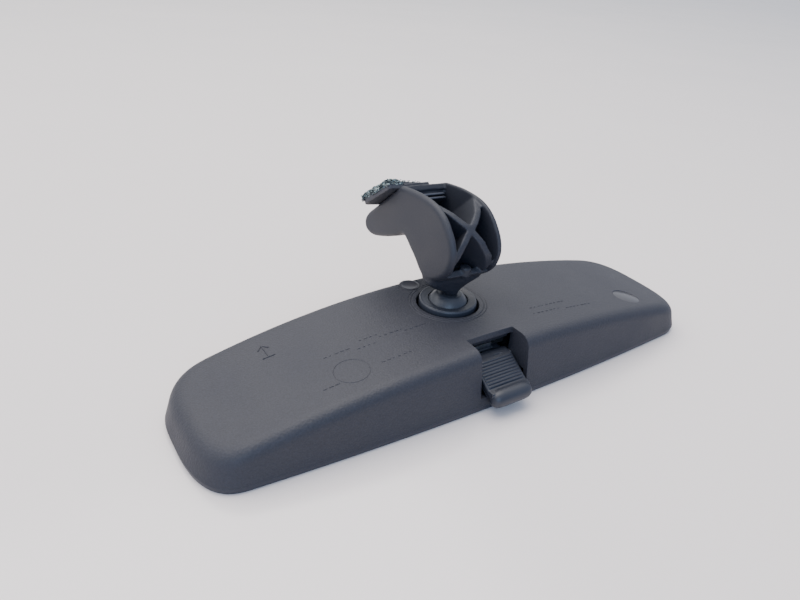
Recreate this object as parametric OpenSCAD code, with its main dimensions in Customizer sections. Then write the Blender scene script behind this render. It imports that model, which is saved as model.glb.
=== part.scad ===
// Interior rear-view mirror with a dipping lever, a ball joint and a moulded windscreen arm.
// It lies glass down: X along the mirror, -Y to the lever side, +Z away from the glass.
// The origin is the middle of the front face.

/* [Case] */
// Overall length of the case
case_len = 237; // [210:1:270]
// Height of the case at its middle
case_wid = 68.6; // [60:0.2:80]
// Depth of the case at its crown, on the lever side
case_deep = 25.5; // [24.5:0.1:30]
// Wall thickness of the back cover
wall = 2.2; // [1.8:0.1:2.6]
// Height of the front bezel below the parting line
bezel_h = 2.2; // [1.8:0.1:3]
// Width of the bezel frame seen from the front
bezel_w = 4.6; // [3.6:0.1:6]

/* [Glass] */
// Thickness of the prism glass at its thin lower edge
glass_thin = 2.2; // [1.8:0.1:2.6]
// Wedge angle of the prism glass, degrees
wedge_a = 3.2; // [2:0.1:3.6]

/* [Ball joint] */
// Radius of the ball
ball_r = 9.3; // [8.8:0.1:9.4]
// Outer radius of the socket collar
collar_r = 12.1; // [12:0.1:13]
// Running clearance between the ball and its seats
ball_gap = 0.06; // [0.02:0.01:0.1]
// Radius of the steel stud in the ball
stud_r = 2.3; // [2:0.1:2.5]

/* [Dipping] */
// Travel of the lever, degrees
lever_travel = 35; // [25:1:38]
// Tilt of the case on its hinge, degrees
dip_travel = 4; // [3:0.1:4.4]
// Width of the lever
lever_w = 19; // [16:0.5:20]
// Number of grip ribs on the lever
grip_ribs = 9; // [5:1:11]

/* [Arm] */
// Overall width of the arm across its flanges
arm_w = 25; // [22:0.2:30]
// Thickness of each arm flange
flange_t = 2.6; // [2:0.1:3.4]
// Thickness of the arm's web and crossing ribs
rib_t = 2.7; // [2:0.1:3.2]
// Thickness of the windscreen button
button_t = 2.9; // [2.4:0.1:4]

/* [Hidden] */
$fn = 64;
eps = 0.01;

// ---- case outline ----
half_l = case_len / 2;
near_y = case_wid * 0.5087;      // lever side edge at the middle
far_y = case_wid * 0.4913;       // upper edge at the middle
near_bow = 4.6;                  // how far the edges come in at the ends
far_bow = 10.7;
bow_x = half_l;                  // where the bows are measured
corner_near = 17;                // length of the rounding at the corners
corner_far = 19;
corner_p = 2.9;                  // squareness of the corners
corner_last = 79;                // last angle of the rounding, degrees
n_flat = 9;                      // points along half an edge
n_corner = 8;                    // points round a corner

// ---- depth of the crowned back ----
near_top = case_deep;
far_top = case_deep - 2;
end_top = 12.75;
crown_x = half_l * 0.96;
draft = 3.5;                     // the walls lean in by this much
far_draft = 1.2;
end_draft = 3.6;
edge_round = 5;                  // fillet between wall and back

// ---- socket and hinge ----
ball_y = 6.8;
ball_z = 21.1;
hinge_y = 24;
hinge_z = 14.4;
pin_r = 1.5;
pin_gap = 0.05;
lever_y = -22;
lever_z = 13;
crank_r = 4.8;
crank_pin_r = 1.25;

// ---- inside heights ----
lip = 0.8;                       // glass face lies this far behind the bezel face
glass_in = wall + 2.1;           // glass edge, measured in from the rim
coat_t = 0.12;
film_t = 0.4;
plate_lo = 8.6;
plate_hi = 10.6;
notch_x = 11.5;
notch_z = 6;

// ---- arm profile, side view (Y, Z) ----
ball_flat = 1.6;                 // a flat on top of the ball for the neck to stand on
neck_z = ball_z + ball_r - ball_flat + 0.05;
outer_line = [[7.5, 36], [1, 39.3], [-4.2, 44.4], [-6.1, 50.8], [-4.4, 56.5],
    [0.2, 61.8], [5.6, 65.3], [12.5, 67], [23.5, 66.9], [35.2, 65.2]];
inner_line = [[10.2, 36], [14, 37.9], [17.5, 40.7], [22.1, 43.6], [28.9, 47.1]];
toe = [[59, 44.4], [61.3, 40.6], [59.6, 36.8], [54, 36.3], [44.8, 39.5], [35.6, 43.7]];
foot_a = -41.1;                  // slope of the foot face, degrees
foot_top = [35.2, 65.2];
arm_grow = 0.6;                  // the drawn side view is let out by this much
arm_roll = 3;                    // how the arm stands on its ball at rest, degrees
arm_spin = -2;

function mix(a, b, t) = a + (b - a) * t;
function unit(v) = v / norm(v);

// One side of the outline, from the middle to the end, as [x, y] with y measured out
function side(l, y0, bow, corner, n = n_flat, m = n_corner) = concat(
    [for (i = [0 : n - 1]) let (x = (l - corner) * i / n) [x, y0 - bow * pow(x / bow_x, 2)]],
    [for (i = [0 : m]) let (a = corner_last * i / m,
        x = l - corner + corner * pow(sin(a), 2 / corner_p))
        [x, (y0 - bow * pow(x / bow_x, 2)) * pow(cos(a), 2 / corner_p)]]);

// Whole outline, anticlockwise seen from +Z: lever side left to right, then back
function outline(l, yn, yf, bn, bf, cn, cf) = let (
    a = side(l, yn, bn, cn), b = side(l, yf, bf, cf), k = len(a)) concat(
    [for (i = [k - 1 : -1 : 1]) [-a[i].x, -a[i].y]], [for (p = a) [p.x, -p.y]],
    [for (i = [k - 1 : -1 : 0]) b[i]], [for (i = [1 : k - 1]) [-b[i].x, b[i].y]]);

// The rim outline moved in by d
function rim(d = 0) = outline(half_l - d, near_y - d, far_y - d, near_bow, far_bow,
    corner_near - d / 2, corner_far - d / 2);
// The outline where wall and back would meet, moved in by d
function crease(d = 0) = outline(half_l - end_draft - d, near_y - draft - d,
    far_y - far_draft - d, near_bow * 0.6, far_bow * 0.86, corner_near - d / 2, corner_far - d / 2);

// Height of the crowned back above a point of the plan
function back_z(p) = let (u = pow(p.x / crown_x, 2), t = (p.y + near_y) / (near_y + far_y))
    mix(near_top - (near_top - end_top) * u, far_top - (far_top - end_top) * u, t);
back_lean = atan((near_top - far_top) / (near_y + far_y));

function ring_faces(rings, m) = concat(
    [for (j = [0 : m / 2 - 2]) [j, j + 1, m - 2 - j, m - 1 - j]],
    [for (i = [0 : rings - 2], j = [0 : m - 1]) let (k = (j + 1) % m)
        each [[i * m + j, (i + 1) * m + k, i * m + k],
              [i * m + j, (i + 1) * m + j, (i + 1) * m + k]]],
    [for (j = [0 : m / 2 - 2]) let (b = (rings - 1) * m)
        each [[b + m - 1 - j, b + j + 1, b + j], [b + m - 1 - j, b + m - 2 - j, b + j + 1]]]);

// The case as a solid: walls up from z0, a fillet, then the crowned back
module case_solid(d, z0, steps) {
    base = rim(d);
    top = crease(d * 0.8);
    flat = crease(d * 0.8 + edge_round - d / 2);
    m = len(base);
    low = [for (p = base) [p.x, p.y, z0]];
    mid = [for (p = top) [p.x, p.y, back_z(p) - d]];
    in = [for (p = flat) [p.x, p.y, back_z(p) - d]];
    wall_pt = [for (i = [0 : m - 1]) mid[i] + (low[i] - mid[i]) *
        (edge_round - d / 2) / (mid[i].z - low[i].z)];
    fillet = [for (s = [0 : steps], i = [0 : m - 1]) let (t = s / steps)
        wall_pt[i] * pow(1 - t, 2) + mid[i] * 2 * t * (1 - t) + in[i] * t * t];
    polyhedron(concat(low, fillet), ring_faces(steps + 2, m), convexity = 4);
}

module plate2d(d) { polygon(rim(d)); }

// A tilted frame on the crowned back above (x, y)
module on_back(x, y) {
    translate([x, y, back_z([x, y])])
        rotate([-back_lean, atan(2 * (near_top - end_top) * x / pow(crown_x, 2)), 0]) children();
}

module at_ball() { translate([0, ball_y, ball_z]) children(); }
// The arm and ball as they stand at rest, turned about the ball centre
module posed() {
    at_ball() rotate([0, 0, arm_spin]) rotate([0, arm_roll, 0])
        translate([0, -ball_y, -ball_z]) children();
}
module tube(r_out, r_in, h) {
    difference() {
        cylinder(r = r_out, h = h);
        translate([0, 0, -1]) cylinder(r = r_in, h = h + 2);
    }
}
module along_x(r, x0, x1, y, z) {
    translate([x0, y, z]) rotate([0, 90, 0]) cylinder(r = r, h = x1 - x0);
}

// ---- case pieces ----
screw_xy = [[-72, -16], [72, -16], [-72, 16], [72, 16]];
hole_r = collar_r + 1.1;

module notch() {
    back = lever_y;
    rotate([90, 0, 90]) translate([0, 0, -notch_x]) linear_extrude(2 * notch_x)
        polygon([[back, notch_z], [back, 22.6], [back + 1.4, 27], [-50, 27], [-50, notch_z]]);
}

module back_cover() {
    color("dimgray") difference() {
        union() {
            difference() {
                case_solid(0, bezel_h, 4);
                case_solid(wall, bezel_h - 1, 2);
            }
            intersection() {
                case_solid(wall / 2, bezel_h, 1);
                union() {
                    for (p = screw_xy) translate([p.x, p.y, plate_hi]) cylinder(r = 3.5, h = 20);
                    translate([0, ball_y, 19.5]) cylinder(r = hole_r + 1.4, h = 8);
                    for (s = [-1, 1]) translate([s * (notch_x + 0.6) - 0.6, -34, plate_hi + 0.4])
                        cube([1.2, 13, 16]);
                    translate([-notch_x - 1.2, lever_y + 3.8, lever_z + 5.4])
                        cube([2 * notch_x + 2.4, 1.2, 8]);
                }
            }
        }
        translate([0, ball_y, 0]) cylinder(r = hole_r, h = 40);
        on_back(0, ball_y) for (r = [hole_r + 1.9, hole_r + 3.1])
            translate([0, 0, -0.4]) tube(r + 0.4, r, 3);
        on_back(-6, 27) translate([0, 0, -0.4]) tube(5.5, 4.9, 3);
        on_back(86, -17) translate([0, 0, -0.3]) cylinder(r = 6.4, h = 3);
        for (p = screw_xy) translate([p.x, p.y, 0]) cylinder(r = 1.15, h = plate_hi + 7);
        notch();
        along_x(pin_r + 0.4, -14, 14, lever_y, lever_z);
    }
}

module bezel() {
    color("dimgray") difference() {
        union() {
            linear_extrude(bezel_h) plate2d(0.35);
            linear_extrude(3.8) plate2d(wall + 1);
        }
        translate([0, 0, -1]) linear_extrude(10) plate2d(bezel_w + 0.35);
        translate([0, 0, lip]) linear_extrude(10) plate2d(glass_in - 0.2);
        translate([-notch_x - 0.6, -40, bezel_h + 0.3]) cube([2 * notch_x + 1.2, 14, 10]);
    }
}

// The part of the glass outline between two distances above the front face
module wedge_slab(inset, t0, t1) {
    thin_y = -near_y + glass_in;
    intersection() {
        translate([0, 0, lip]) linear_extrude(12) plate2d(inset);
        translate([0, thin_y, lip]) rotate([wedge_a, 0, 0])
            translate([-half_l, -10, t0]) cube([case_len, case_wid + 20, t1 - t0]);
    }
}

module mirror_glass() {
    thin_y = -near_y + glass_in;
    color("lightsteelblue") difference() {
        translate([0, 0, lip]) linear_extrude(12) plate2d(glass_in);
        translate([0, thin_y, lip]) rotate([wedge_a, 0, 0])
            translate([-half_l, -10, glass_thin]) cube([case_len, case_wid + 20, 20]);
    }
}
module silver_coating() {
    color("silver") wedge_slab(glass_in + 0.3, glass_thin, glass_thin + coat_t);
}
module backing_film() {
    color("black") wedge_slab(glass_in + 0.5, glass_thin + coat_t, glass_thin + coat_t + film_t);
}

cushion_xy = [[-92, 0], [-48, 0], [48, 0], [92, 0]];
module foam_cushions() {
    thin_y = -near_y + glass_in;
    color("darkslategray") difference() {
        for (p = cushion_xy) translate([p.x - 7, p.y - 13, lip + 1]) cube([14, 26, plate_lo - lip - 1]);
        translate([0, thin_y, lip]) rotate([wedge_a, 0, 0])
            translate([-half_l, -10, -20]) cube([case_len, case_wid + 20,
                20 + glass_thin + coat_t + film_t]);
    }
}

// Moulded carrier that holds the hinge and the lever
post_x = notch_x + 1.7;
module carrier() {
    color("gray") difference() {
        union() {
            translate([0, 0, plate_lo]) linear_extrude(plate_hi - plate_lo) intersection() {
                plate2d(wall + 4.2);
                square([204, 80], center = true);
            }
            for (s = [-1, 1]) {
                translate([s * 20.5 - 2.5, hinge_y - 3.5, plate_lo]) cube([5, 7, hinge_z - plate_lo]);
                along_x(3.2, s * 20.5 - 2.5, s * 20.5 + 2.5, hinge_y, hinge_z);
                translate([s * (post_x + 2) - 2, lever_y - 3, plate_lo]) cube([4, 6, lever_z - plate_lo]);
                along_x(3, s * (post_x + 2) - 2, s * (post_x + 2) + 2, lever_y, lever_z);
            }
        }
        translate([-17.6, -15, 0]) cube([35.2, 35.4, 11]);
        translate([-post_x, -40, 0]) cube([2 * post_x, 28, 11]);
        along_x(pin_r + eps, -30, 30, hinge_y, hinge_z);
        along_x(pin_r + eps, -20, 20, lever_y, lever_z);
        translate([-16, lever_y - 1.8, 8.9]) cube([32, 3.6, 0.8]);
        for (p = screw_xy) translate([p.x, p.y, 0]) cylinder(r = 1.4, h = 20);
    }
}
module carrier_screws() {
    color("silver") for (p = screw_xy) translate([p.x, p.y, 7.2]) {
        difference() {
            cylinder(r = 2.5, h = 1.4);
            translate([0, 0, -1]) cylinder(r = 1.1, h = 1.8, $fn = 6);
        }
        translate([0, 0, 1.4]) cylinder(r = 1.1, h = 7);
    }
}
module hinge_pin() { color("silver") along_x(pin_r, -23.5, 23.5, hinge_y, hinge_z); }
module lever_pin() { color("silver") along_x(pin_r, -18.5, 18.5, lever_y, lever_z); }
module detent_spring() {
    color("lightgray") translate([-15.5, lever_y - 1.6, 9.1]) cube([31, 3.2, 0.4]);
}

// ---- lever ----
roll_y = -37.9;
roll_z = 6.9;
roll_r = 3.6;
module lever_profile() {
    polygon([[lever_y - 1.2, lever_z + 3.2], [-25.5, 15.9], [-34.6, 10.4], [-38.1, 10.4],
        [-38.1, 6], [-34.2, 6.9], [-26, 11.4], [lever_y - 1.5, lever_z - 2.4]]);
}
module dip_lever() {
    half = lever_w / 2;
    rise_a = lever_travel / 2;
    crank = [lever_y + crank_r * cos(rise_a), lever_z + crank_r * sin(rise_a)];
    color("#26282b") difference() {
        union() {
            translate([-half, 0, 0]) rotate([90, 0, 90]) linear_extrude(lever_w) lever_profile();
            along_x(3.3, -half, half, lever_y, lever_z);
            along_x(roll_r, -half, half, roll_y, roll_z);
            for (i = [0 : grip_ribs - 1]) {
                t = (i + 0.6) / grip_ribs;
                along_x(0.55, -half + 0.6, half - 0.6, mix(-25, -35.5, t), mix(16.15, 10.2, t));
            }
            for (s = [-1, 1]) {
                translate([s * 6.5 - 1.5, 0, 0]) rotate([90, 0, 90]) linear_extrude(3)
                    polygon([[lever_y, lever_z + 3], [crank.x, crank.y + 1.25],
                        [crank.x + 1.2, crank.y - 0.4], [crank.x, crank.y - 1.25], [lever_y, lever_z - 3]]);
            }
            along_x(crank_pin_r, -8, 8, crank.x, crank.y);
        }
        along_x(pin_r + pin_gap, -20, 20, lever_y, lever_z);
        translate([-half + 2.6, -26.4, 15]) cylinder(r = 0.8, h = 3);
    }
}

// ---- bracket with the ball socket ----
cup_r = collar_r - 1.2;
liner_r = ball_r + 0.9;
liner_lo = -4.5;
liner_hi = 3.2;
pad_r = ball_r + 0.8;
spring_z = pad_r + 0.7;          // the disc spring lies this far below the ball centre
dish_z = 4.8;                    // bottom and top of the dished top of the collar
dish_hi = 5.2;
tail = [lever_y + crank_r * cos(lever_travel / 2), lever_z + crank_r * sin(lever_travel / 2)];
module pivot_bracket() {
    color("slategray") difference() {
        union() {
            at_ball() translate([0, 0, -spring_z - 1.8]) cylinder(r = cup_r, h = spring_z + 2.3);
            translate([-15, tail.x + 3.4, 12.6]) cube([30, hinge_y - tail.x - 3.4, 2.6]);
            for (s = [-1, 1]) along_x(3, s * 13 - 3.6, s * 13 + 3.6, hinge_y, hinge_z);
            for (z = [-1, 1]) translate([-4.5, tail.x - 0.8, tail.y - 0.9 + z * (crank_pin_r + 1.25)])
                cube([9, 5.4, 1.8]);
            translate([-4.5, tail.x + 2.6, 11.4]) cube([9, 3, 6.1]);
        }
        at_ball() {
            sphere(r = pad_r + 0.08, $fn = 96);
            translate([0, 0, liner_lo - 0.05]) cylinder(r = liner_r + 0.03, h = 10);
            translate([0, 0, -spring_z - 0.6]) cylinder(r = 5.2, h = 4);
        }
        along_x(pin_r + pin_gap, -20, 20, hinge_y, hinge_z);
    }
}
module socket_collar() {
    color("#1c1d1f") at_ball() difference() {
        union() {
            translate([0, 0, -4.2]) cylinder(r = collar_r, h = 4.2 + dish_z);
            translate([0, 0, dish_z]) cylinder(r = collar_r - 0.4, h = dish_hi - dish_z);
        }
        translate([0, 0, -5]) cylinder(r = cup_r + 0.05, h = 5.6);
        translate([0, 0, 0]) cylinder(r = liner_r + 0.03, h = liner_hi + 0.05);
        sphere(r = ball_r + 0.3, $fn = 96);
        translate([0, 0, dish_z]) cylinder(r1 = ball_r - 1, r2 = collar_r - 1, h = dish_hi - dish_z + eps);
    }
}
module ball_liner() {
    color("#35373a") at_ball() difference() {
        translate([0, 0, liner_lo]) cylinder(r = liner_r, h = liner_hi - liner_lo);
        sphere(r = ball_r + ball_gap, $fn = 96);
    }
}
module disc_spring() {
    color("silver") at_ball() rotate_extrude()
        polygon([[2.6, -spring_z], [4.9, -spring_z - 0.45], [4.9, -spring_z - 0.05], [2.6, 0.4 - spring_z]]);
}

// Sprung pad under the ball
module pressure_pad() {
    color("ivory") at_ball() difference() {
        intersection() {
            sphere(r = pad_r, $fn = 96);
            translate([0, 0, -20]) cylinder(r1 = 16, r2 = 0, h = 20);
        }
        sphere(r = ball_r + ball_gap, $fn = 96);
        translate([0, 0, -20]) cylinder(r = 1.6, h = 20);
    }
}

// ---- ball and arm ----
head_z = ball_r - 1.1;           // depth of the stud's head below the ball centre
stud_top = 16.4;
module pivot_ball() {
    color("#2c2d30") at_ball() difference() {
        sphere(r = ball_r, $fn = 96);
        translate([0, 0, ball_r - ball_flat]) cylinder(r = ball_r, h = 5);
        translate([0, 0, -20]) cylinder(r = stud_r + pin_gap, h = 40);
        translate([0, 0, -20]) cylinder(r = stud_r + 1.6, h = 20 - head_z + 1.4);
    }
}
module ball_stud() {
    color("silver") at_ball() {
        translate([0, 0, -head_z]) cylinder(r = stud_r + 1.3, h = 1.3);
        translate([0, 0, 1.2 - head_z]) cylinder(r = stud_r, h = stud_top + head_z - 1.2);
    }
}

// Smooth open curve through points, with n steps between each pair
function spline_at(a, b, c, d, t) = 0.5 * (2 * b + (c - a) * t +
    (2 * a - 5 * b + 4 * c - d) * t * t + (3 * b - a - 3 * c + d) * t * t * t);
function curve(p, n) = concat([for (i = [0 : len(p) - 2], s = [0 : n - 1])
    spline_at(p[max(i - 1, 0)], p[i], p[i + 1], p[min(i + 2, len(p) - 1)], s / n)], [p[len(p) - 1]]);

arm_line = concat(curve(outer_line, 3), curve(toe, 2), [for (i = [4 : -1 : 0]) inner_line[i]]);

// A clockwise closed outline moved in by d along its own normals; an anticlockwise one moves out
function shrunk(p, d) = let (n = len(p)) [for (i = [0 : n - 1]) let (
    a = unit(p[i] - p[(i + n - 1) % n]), b = unit(p[(i + 1) % n] - p[i]), t = unit(a + b),
    k = max(0.6, a * t)) p[i] + [t.y, -t.x] * d / k];

arm_side = shrunk(arm_line, -arm_grow);

module side_slab(x0, x1, d = 0) {
    translate([x0, 0, 0]) rotate([90, 0, 90]) linear_extrude(x1 - x0) polygon(shrunk(arm_side, d));
}
// The rounded outer layers of one flange
module flange_edge(s) {
    x_out = arm_w / 2;
    mirror([s < 0 ? 1 : 0, 0, 0]) {
        side_slab(x_out - 1.01, x_out - 0.45, 0.35);
        side_slab(x_out - 0.46, x_out, 1);
    }
}

// A frame on the foot face: +X across, +Y down the slope, +Z out towards the windscreen
module on_foot() {
    translate([0, foot_top.x, foot_top.y]) rotate([foot_a, 0, 0])
        translate([0, 0, arm_grow]) children();
}

// A band of thickness t along a list of points
function band(p, t) = concat(p, [for (i = [len(p) - 1 : -1 : 0]) let (
    a = unit(p[min(i + 1, len(p) - 1)] - p[max(i - 1, 0)])) p[i] + [-a.y, a.x] * t]);

// Crossing ribs, drawn in the plane across the channel and run along its depth
rib_a = [[-11, 57.6], [-4, 47.2], [-0.5, 43.1], [3.8, 36.4], [6.5, 32.2], [11, 27.6]];
rib_b = [[11, 58], [5, 48.9], [-0.5, 43.1], [-4, 39.6], [-7.5, 35.3], [-11, 31.1]];
module cross_ribs() {
    reach = arm_w / 2 - flange_t + 0.6;
    intersection() {
        side_slab(-reach, reach, 0.7);
        union() for (r = [rib_a, rib_b]) rotate([45, 0, 0]) translate([0, 0, -20])
            linear_extrude(90) polygon(band(r, rib_t));
    }
}

// The channel between the flanges: open on the crowned side, with a web, a floor and a foot plate left
peak_i = 3 * (len(outer_line) - 1);
floor_i = 5;
inner_side = shrunk(arm_side, rib_t);
channel = concat([for (i = [peak_i : len(inner_side) - 1]) inner_side[i]],
    [for (i = [0 : floor_i]) inner_side[i]],
    [inner_side[floor_i] + [-14, 3], [-30, 90], inner_side[peak_i] + [-14, 26]]);
// The stem under the flanges: half-sections seen from the front (X, Z) and the side (Y, Z)
stem_x = [[12.45, 36.6], [10, 35], [7.6, 33.6], [5.6, 32.3], [4.2, 31], [3.3, neck_z],
    [-3.3, neck_z], [-4.3, 30.4], [-5.8, 31], [-8, 31.9], [-10.3, 33.1], [-12.45, 34.6]];
stem_y = [[3.3, neck_z], [2.8, 31], [2.1, 33.6], [1.2, 36.6], [0.6, 39.5], [15.2, 39.5], [14.6, 36.6],
    [12.3, 33.6], [10.8, 31], [10.3, neck_z]];
module stem() {
    top = 39.4;
    intersection() {
        rotate([90, 0, 0]) translate([0, 0, -20]) linear_extrude(30)
            polygon(concat(stem_x, [[-12.45, top], [12.45, top]]));
        rotate([90, 0, 90]) translate([0, 0, -13]) linear_extrude(26) polygon(stem_y);
        translate([0, ball_y, neck_z]) rotate_extrude()
            polygon([[0, 0], [3.3, 0], [4.6, 1.6], [9, 3.2], [18, 6.5], [18, 11], [0, 11]]);
    }
}
module arm_moulding() {
    x_in = arm_w / 2 - flange_t;
    color("#3a3c40") difference() {
        union() {
            difference() {
                side_slab(-arm_w / 2 + 1, arm_w / 2 - 1);
                translate([-x_in, 0, 0]) rotate([90, 0, 90]) linear_extrude(2 * x_in) polygon(channel);
            }
            flange_edge(-1);
            flange_edge(1);
            cross_ribs();
            intersection() {
                side_slab(-x_in - 1, x_in + 1, 0.02);
                foot_slab([[-x_in - 1, 0.5], [x_in + 1, 0.5], [x_in + 1, 27.5], [-x_in - 1, 27.5]],
                    -seat_t, 0);
            }
            stem();
            translate([0, -0.4, 40]) cylinder(r = 2.4, h = 4.4);
        }
        translate([0, ball_y, 0]) cylinder(r = stud_r, h = ball_z + stud_top + 0.1);
        foot_slab(shrunk(step_2d, 0.3), -step_t - 0.1, 2);
        on_foot() translate([clip_hole.x, clip_hole.y, -8]) cylinder(r = 3.1, h = 20);
    }
}

// ---- foot ----
module foot_slab(p, z0, z1) {
    on_foot() translate([0, 0, z0]) linear_extrude(z1 - z0) polygon(p);
}
button_2d = [[-15.9, 2], [5.4, 7.2], [6.4, 8.6], [2.4, 25], [1, 25.8], [-18.4, 21.2], [-19.4, 19.6]];
clip_x = 8.6;
clip_hole = [-2, 15];            // where the button's post goes through seat and clip
glue_t = 0.6;
step_t = 2.2;                    // the button's body reaches this far down between the flanges
step_2d = [[-9, 4.2], [4.6, 7.5], [2.4, 24], [-9, 21.4]];
seat_t = 4.4;                    // depth of the seat under the foot face
// Glass left on the pad, wrapped over the left and front edges of the button
glass_2d = [[-16.8, 1.2], [-9.4, 2.8], [-6.4, 5.2], [-8.4, 9.6], [-11.4, 14], [-11.8, 20.6],
    [-15.4, 22.6], [-19.4, 21.8], [-20.2, 19.8]];
glass_top_2d = [[-15.8, 2.6], [-11.6, 3.4], [-10.6, 8.8], [-13.4, 13.4], [-14.2, 19.8],
    [-18.2, 20.4], [-18.9, 18.6]];
glass_lo = 1.5;
// Where the bonding pad is torn lower under the glass
torn_2d = [[-24, -1], [-9, 0], [-5.6, 5], [-7.8, 10], [-10.9, 14.2], [-11.3, 30], [-24, 30]];
torn_t = 0.2;
module spring_clip() {
    color("silver") on_foot() difference() {
        union() {
            for (z = [-seat_t - 1, -seat_t - 2.7]) translate([-clip_x, -1.2, z])
                cube([2 * clip_x, 26, 0.8]);
            translate([-clip_x, 24, -seat_t - 2.7]) cube([2 * clip_x, 0.8, 2.5]);
        }
        translate([clip_hole.x, clip_hole.y, -12]) cylinder(r = 3.1, h = 12);
    }
}
module windscreen_button() {
    color("#18191b") {
        foot_slab(button_2d, 0.05, button_t);
        foot_slab(step_2d, -step_t, 1);
        on_foot() translate([clip_hole.x, clip_hole.y, 0]) {
            translate([0, 0, -seat_t - 3.1]) cylinder(r = 2.9, h = seat_t + 3.2);
            translate([0, 0, -seat_t - 3.8]) cylinder(r = 4.2, h = 0.8);
        }
    }
}
module adhesive_pad() {
    color("#101112") difference() {
        foot_slab(shrunk(button_2d, -0.6), button_t, button_t + glue_t);
        foot_slab(torn_2d, button_t + glue_t - torn_t, button_t + glue_t + 2);
    }
}
module glass_residue() {
    z0 = button_t + glue_t - torn_t;
    color("#9db5ae") difference() {
        union() {
            foot_slab(glass_2d, glass_lo, z0 + 0.9);
            foot_slab(glass_top_2d, z0 + 0.89, z0 + 1.6);
        }
        foot_slab(shrunk(button_2d, 0.05), 0, z0);
    }
}

back_cover();
bezel();
mirror_glass();
silver_coating();
backing_film();
foam_cushions();
carrier();
carrier_screws();
hinge_pin();
lever_pin();
detent_spring();
dip_lever();
pivot_bracket();
socket_collar();
ball_liner();
disc_spring();
pressure_pad();
posed() pivot_ball();
posed() ball_stud();
posed() arm_moulding();
posed() spring_clip();
posed() windscreen_button();
posed() adhesive_pad();
posed() glass_residue();
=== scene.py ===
# %% [markdown]
# # An interior rear-view mirror, glass down on a table
# The CAD model gives every part its place and size. This lesson gives those parts their looks.
# Parts that show are made again as smooth surfaces worked out with numpy, in the same millimetres,
# and parts that are hidden inside keep their CAD mesh and only get a finish.
# First the imported model is loaded.

# %% Load the model
import math

import bpy
import bmesh
import numpy as np
from mathutils import Matrix


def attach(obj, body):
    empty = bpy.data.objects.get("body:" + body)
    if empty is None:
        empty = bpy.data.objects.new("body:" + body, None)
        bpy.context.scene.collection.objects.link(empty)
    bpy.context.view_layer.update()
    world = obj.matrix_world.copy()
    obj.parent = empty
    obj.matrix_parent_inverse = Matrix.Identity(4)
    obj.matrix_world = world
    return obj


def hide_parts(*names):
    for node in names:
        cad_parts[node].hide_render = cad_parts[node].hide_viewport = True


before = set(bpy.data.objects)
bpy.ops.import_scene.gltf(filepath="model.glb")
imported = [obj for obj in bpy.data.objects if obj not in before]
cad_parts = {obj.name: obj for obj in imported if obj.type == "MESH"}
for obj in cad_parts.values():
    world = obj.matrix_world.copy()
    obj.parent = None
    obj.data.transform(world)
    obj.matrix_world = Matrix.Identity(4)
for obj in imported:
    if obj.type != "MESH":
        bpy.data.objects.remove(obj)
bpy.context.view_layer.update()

scene = bpy.context.scene

# %% [markdown]
# ## The camera
# A product picture is mostly decided by where one stands. Here it is a hand-held view from the left
# and above, about a third of a metre away, with the horizon slightly tilted. A camera could be aimed
# with a Track To constraint, but writing its matrix from azimuth, elevation and roll keeps it exact:
# the backward axis points from the subject to the lens, and right and up are turned by the roll.

# %% Camera
AZIMUTH, ELEVATION, ROLL = math.radians(-34.861), math.radians(30.286), math.radians(4.881)
AIM = np.array([6.249, 50.611, 0.0]) / 1000
REACH = 0.325203
LENS = 29.914

backward = np.array([math.sin(AZIMUTH) * math.cos(ELEVATION),
                     -math.cos(AZIMUTH) * math.cos(ELEVATION), math.sin(ELEVATION)])
level = np.cross(-backward, [0, 0, 1])
level /= np.linalg.norm(level)
upward = np.cross(level, -backward)
right = math.cos(ROLL) * level + math.sin(ROLL) * upward
up = -math.sin(ROLL) * level + math.cos(ROLL) * upward
eye = AIM + backward * REACH

camera_data = bpy.data.cameras.new("camera")
camera_data.sensor_width = 36
camera_data.lens = LENS
camera_data.clip_start = 0.01
camera = bpy.data.objects.new("camera", camera_data)
placing = Matrix.Identity(4)
for row in range(3):
    placing[row][0], placing[row][1] = right[row], up[row]
    placing[row][2], placing[row][3] = backward[row], eye[row]
camera.matrix_world = placing
scene.collection.objects.link(camera)
scene.camera = camera
print("the camera stands at", np.round(eye * 1000), "mm")

# %% [markdown]
# ## Making meshes
# Every piece below is a set of points in millimetres and a list of faces. Points that lie on each
# other, such as the seam of a tube, are merged, and the faces are then made to point outwards.
# Smooth shading is kept only where faces meet at a small angle, so that real edges stay crisp.

# %% Mesh helpers
MM = 0.001


def quads(rows, cols, wrap=False, start=0):
    """Faces of a grid of points numbered row by row; wrap also joins the last column to the first."""
    r, c = np.meshgrid(np.arange(rows - 1), np.arange(cols if wrap else cols - 1), indexing="ij")
    n = (c + 1) % cols
    faces = np.stack([r * cols + c, r * cols + n, (r + 1) * cols + n, (r + 1) * cols + c], -1)
    return (faces.reshape(-1, 4) + start).tolist()


def stack(*parts):
    """Several (points, faces) shapes as one."""
    points, faces, count = [], [], 0
    for p, f in parts:
        points.append(p)
        faces += [[i + count for i in face] for face in f]
        count += len(p)
    return np.concatenate(points), faces


def tube(rings):
    """A closed solid from a pile of rings, each an array of points: quads between, a lid on each end."""
    rows, cols = len(rings), len(rings[0])
    faces = quads(rows, cols, wrap=True)
    faces.append(list(range(cols))[::-1])
    faces.append([(rows - 1) * cols + i for i in range(cols)])
    return np.concatenate(rings), faces


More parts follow.
